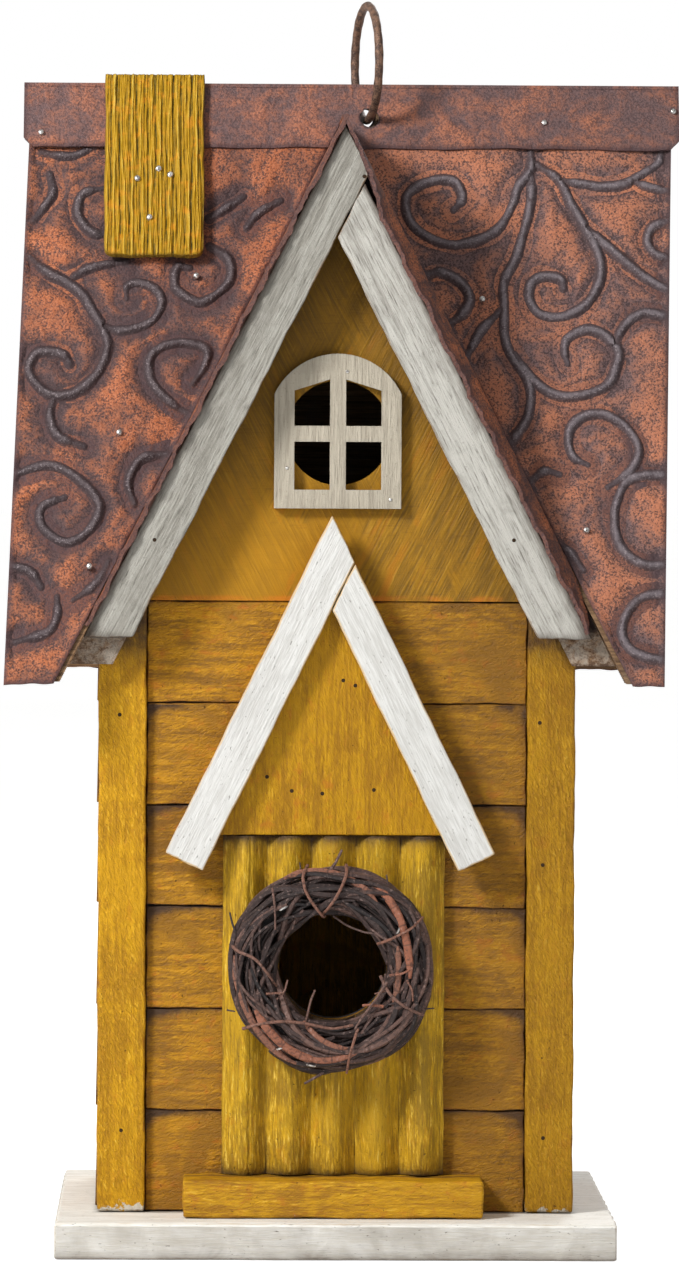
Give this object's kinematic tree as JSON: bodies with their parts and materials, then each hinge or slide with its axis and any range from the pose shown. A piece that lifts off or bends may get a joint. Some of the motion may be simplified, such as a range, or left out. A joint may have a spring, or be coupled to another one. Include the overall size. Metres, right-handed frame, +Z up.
{
  "type": "birdhouse",
  "caption": "Rustic wooden birdhouse with lap siding, a steep embossed metal roof crossed by a front gable, a twig wreath round the entrance and a wire hanging ring.",
  "frame": {"origin": "centre of the base board's underside", "axes": "+Z up, the front with the entrance faces -Y, +X to the viewer's right of the front"},
  "size_m": [0.2143, 0.164, 0.3959],
  "materials": {
    "yellow_paint": "ochre yellow paint brushed on wood, worn at the edges",
    "white_paint": "white paint brushed on wood, scuffed and grimy",
    "grey_white_paint": "weathered off-white paint, thin over grey wood",
    "bare_timber": "bare weathered softwood",
    "rusted_tin": "embossed tin, rust-brown with dark raised scrolls",
    "twigs": "wound vine twigs, dark brown",
    "wire": "dull rust-brown steel wire",
    "screw_steel": "plain zinc-plated steel"
  },
  "bodies": {
    "house": {"back_left_post": "yellow_paint", "back_right_post": "yellow_paint", "back_wall": "yellow_paint", "bargeboard_left": "grey_white_paint", "bargeboard_right": "grey_white_paint", "base_board": "white_paint", "column_1": "yellow_paint", "column_2": "yellow_paint", "column_3_lower": "yellow_paint", "column_3_upper": "yellow_paint", "column_4": "yellow_paint", "column_5": "yellow_paint", "door_screw": "screw_steel", "front_board_1": "yellow_paint", "front_board_2": "yellow_paint", "front_board_3": "yellow_paint", "front_board_4": "yellow_paint", "front_board_5": "yellow_paint", "front_board_6": "yellow_paint", "front_left_post": "yellow_paint", "front_right_post": "yellow_paint", "front_wall": "bare_timber", "gable_board_left": "bare_timber", "gable_board_right": "bare_timber", "gable_sheet": "rusted_tin", "gable_wall": "yellow_paint", "left_board_1": "yellow_paint", "left_board_2": "yellow_paint", "left_board_3": "yellow_paint", "left_board_4": "yellow_paint", "left_board_5": "yellow_paint", "left_board_6": "yellow_paint", "left_gable_board": "yellow_paint", "left_wall": "bare_timber", "pediment_board": "yellow_paint", "pediment_strip_left": "white_paint", "pediment_strip_right": "white_paint", "ridge_cap": "rusted_tin", "ridge_slat": "yellow_paint", "right_board_1": "yellow_paint", "right_board_2": "yellow_paint", "right_board_3": "yellow_paint", "right_board_4": "yellow_paint", "right_board_5": "yellow_paint", "right_board_6": "yellow_paint", "right_gable_board": "yellow_paint", "right_wall": "bare_timber", "roof_board_back": "bare_timber", "roof_board_front_left": "bare_timber", "roof_board_front_right": "bare_timber", "roof_sheet_back": "rusted_tin", "roof_sheet_front_left": "rusted_tin", "roof_sheet_front_right": "rusted_tin", "sill": "yellow_paint", "window_frame": "grey_white_paint", "wreath": "twigs"},
    "ring": {"hanging_ring": "wire"},
    "door": {"cleanout_door": "yellow_paint"}
  },
  "joints": [
    {"name": "ring_swing", "type": "hinge", "parent": "house", "child": "ring", "pos_m": [0.0095, 0.006, 0.3581], "axis": [-0.1908, 0.9816, 0], "range_deg": [-66, 66]},
    {"name": "door_pivot", "type": "hinge", "parent": "house", "child": "door", "pos_m": [0, 0.059, 0.082], "axis": [0, 1, 0], "range_deg": [-110, 110]}
  ]
}
